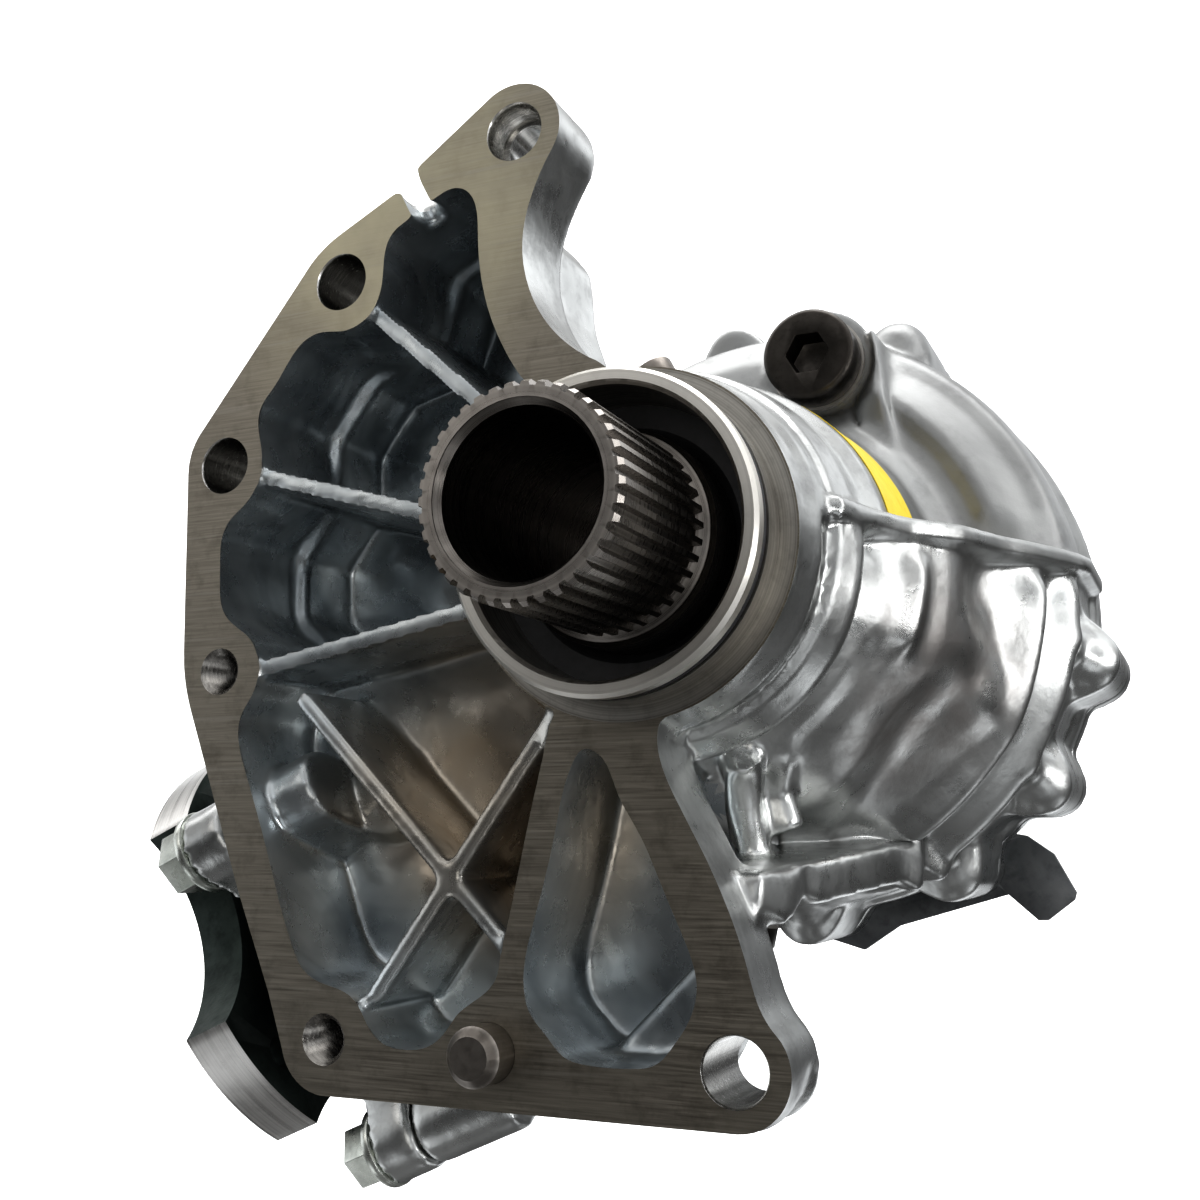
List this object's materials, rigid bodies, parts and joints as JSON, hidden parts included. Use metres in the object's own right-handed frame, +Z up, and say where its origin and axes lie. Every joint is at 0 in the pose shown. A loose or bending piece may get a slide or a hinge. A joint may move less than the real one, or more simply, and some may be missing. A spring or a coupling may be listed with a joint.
{
  "type": "transfer case",
  "caption": "Right-angle transfer case with a ribbed mounting flange, a hollow splined input shaft, a bevel gear pair on tapered bearings and a lobed output flange.",
  "frame": {"origin": "input axis at the plane of the mounting flange face", "axes": "+Y along the input axis from the flange into the housing, +Z up, +X to the right seen from the flange side; the output leaves to -X and down"},
  "size_m": [0.245, 0.2104, 0.2504],
  "materials": {
    "cast_aluminium": "as cast, machined faces",
    "cast_aluminium_cover": "as cast",
    "steel_spline": "ground and oiled",
    "gear_steel": "ground, phosphate dark",
    "bearing_steel": "ground",
    "cage_steel": "pressed",
    "black_oxide": "black oxide",
    "forged_iron": "forged, dark, turned rims",
    "zinc_bolts": "zinc plated",
    "dark_bolts": "dark",
    "sheet_steel": "dark grey coated sheet",
    "pin_steel": "ground",
    "soft_washer": "soft washer",
    "seal_rubber": "seal rubber",
    "label_yellow": "blank label"
  },
  "bodies": {
    "case": {"main_case": "cast_aluminium", "end_cover": "cast_aluminium_cover", "pinion_housing": "cast_aluminium_cover", "cover_bolts": "zinc_bolts", "stay_bolts": "zinc_bolts", "housing_bolts": "zinc_bolts", "stay_plate": "sheet_steel", "filler_plug": "black_oxide", "filler_washer": "soft_washer", "drain_plug": "black_oxide", "drain_washer": "soft_washer", "breather": "pin_steel", "dowel_pin": "pin_steel", "label": "label_yellow", "input_seal": "seal_rubber", "cover_seal": "seal_rubber", "output_seal": "seal_rubber", "pilot_oring": "seal_rubber", "cover_oring": "seal_rubber", "housing_oring": "seal_rubber", "input_front_bearing_cup": "bearing_steel", "input_rear_bearing_cup": "bearing_steel", "pinion_head_bearing_cup": "bearing_steel", "pinion_tail_bearing_cup": "bearing_steel"},
    "input": {"input_shaft": "steel_spline", "ring_gear": "gear_steel", "ring_gear_bolts": "dark_bolts", "input_front_bearing_cone": "bearing_steel", "input_rear_bearing_cone": "bearing_steel"},
    "pinion": {"drive_pinion": "gear_steel", "companion_flange": "forged_iron", "pinion_nut": "dark_bolts", "pinion_washer": "dark_bolts", "pinion_spacer": "pin_steel", "pinion_shim": "pin_steel", "dust_deflector": "sheet_steel", "pinion_head_bearing_cone": "bearing_steel", "pinion_tail_bearing_cone": "bearing_steel"},
    "input_front_bearing_set": {"input_front_bearing_rollers": "bearing_steel", "input_front_bearing_cage": "cage_steel"},
    "input_rear_bearing_set": {"input_rear_bearing_rollers": "bearing_steel", "input_rear_bearing_cage": "cage_steel"},
    "pinion_head_bearing_set": {"pinion_head_bearing_rollers": "bearing_steel", "pinion_head_bearing_cage": "cage_steel"},
    "pinion_tail_bearing_set": {"pinion_tail_bearing_rollers": "bearing_steel", "pinion_tail_bearing_cage": "cage_steel"}
  },
  "joints": [
    {"name": "input_spin", "type": "hinge", "parent": "case", "child": "input", "pos_m": [0, 0, 0], "axis": [0, 1, 0], "continuous": true},
    {"name": "pinion_spin", "type": "hinge", "parent": "case", "child": "pinion", "pos_m": [0.01139, 0.08, -0.02558], "axis": [-0.9135, 0, -0.4067], "continuous": true},
    {"name": "input_front_bearing_orbit", "type": "hinge", "parent": "case", "child": "input_front_bearing_set", "pos_m": [0, 0, 0], "axis": [0, 1, 0], "continuous": true},
    {"name": "input_rear_bearing_orbit", "type": "hinge", "parent": "case", "child": "input_rear_bearing_set", "pos_m": [0, 0, 0], "axis": [0, 1, 0], "continuous": true},
    {"name": "pinion_head_bearing_orbit", "type": "hinge", "parent": "case", "child": "pinion_head_bearing_set", "pos_m": [0.01139, 0.08, -0.02558], "axis": [-0.9135, 0, -0.4067], "continuous": true},
    {"name": "pinion_tail_bearing_orbit", "type": "hinge", "parent": "case", "child": "pinion_tail_bearing_set", "pos_m": [0.01139, 0.08, -0.02558], "axis": [-0.9135, 0, -0.4067], "continuous": true}
  ],
  "couplings": [
    {"joint": "pinion_spin", "follows": "input_spin", "ratio": -2.4615},
    {"joint": "input_front_bearing_orbit", "follows": "input_spin", "ratio": 0.43303},
    {"joint": "input_rear_bearing_orbit", "follows": "input_spin", "ratio": 0.43303},
    {"joint": "pinion_head_bearing_orbit", "follows": "input_spin", "ratio": -1.0163},
    {"joint": "pinion_tail_bearing_orbit", "follows": "input_spin", "ratio": -1.03}
  ]
}
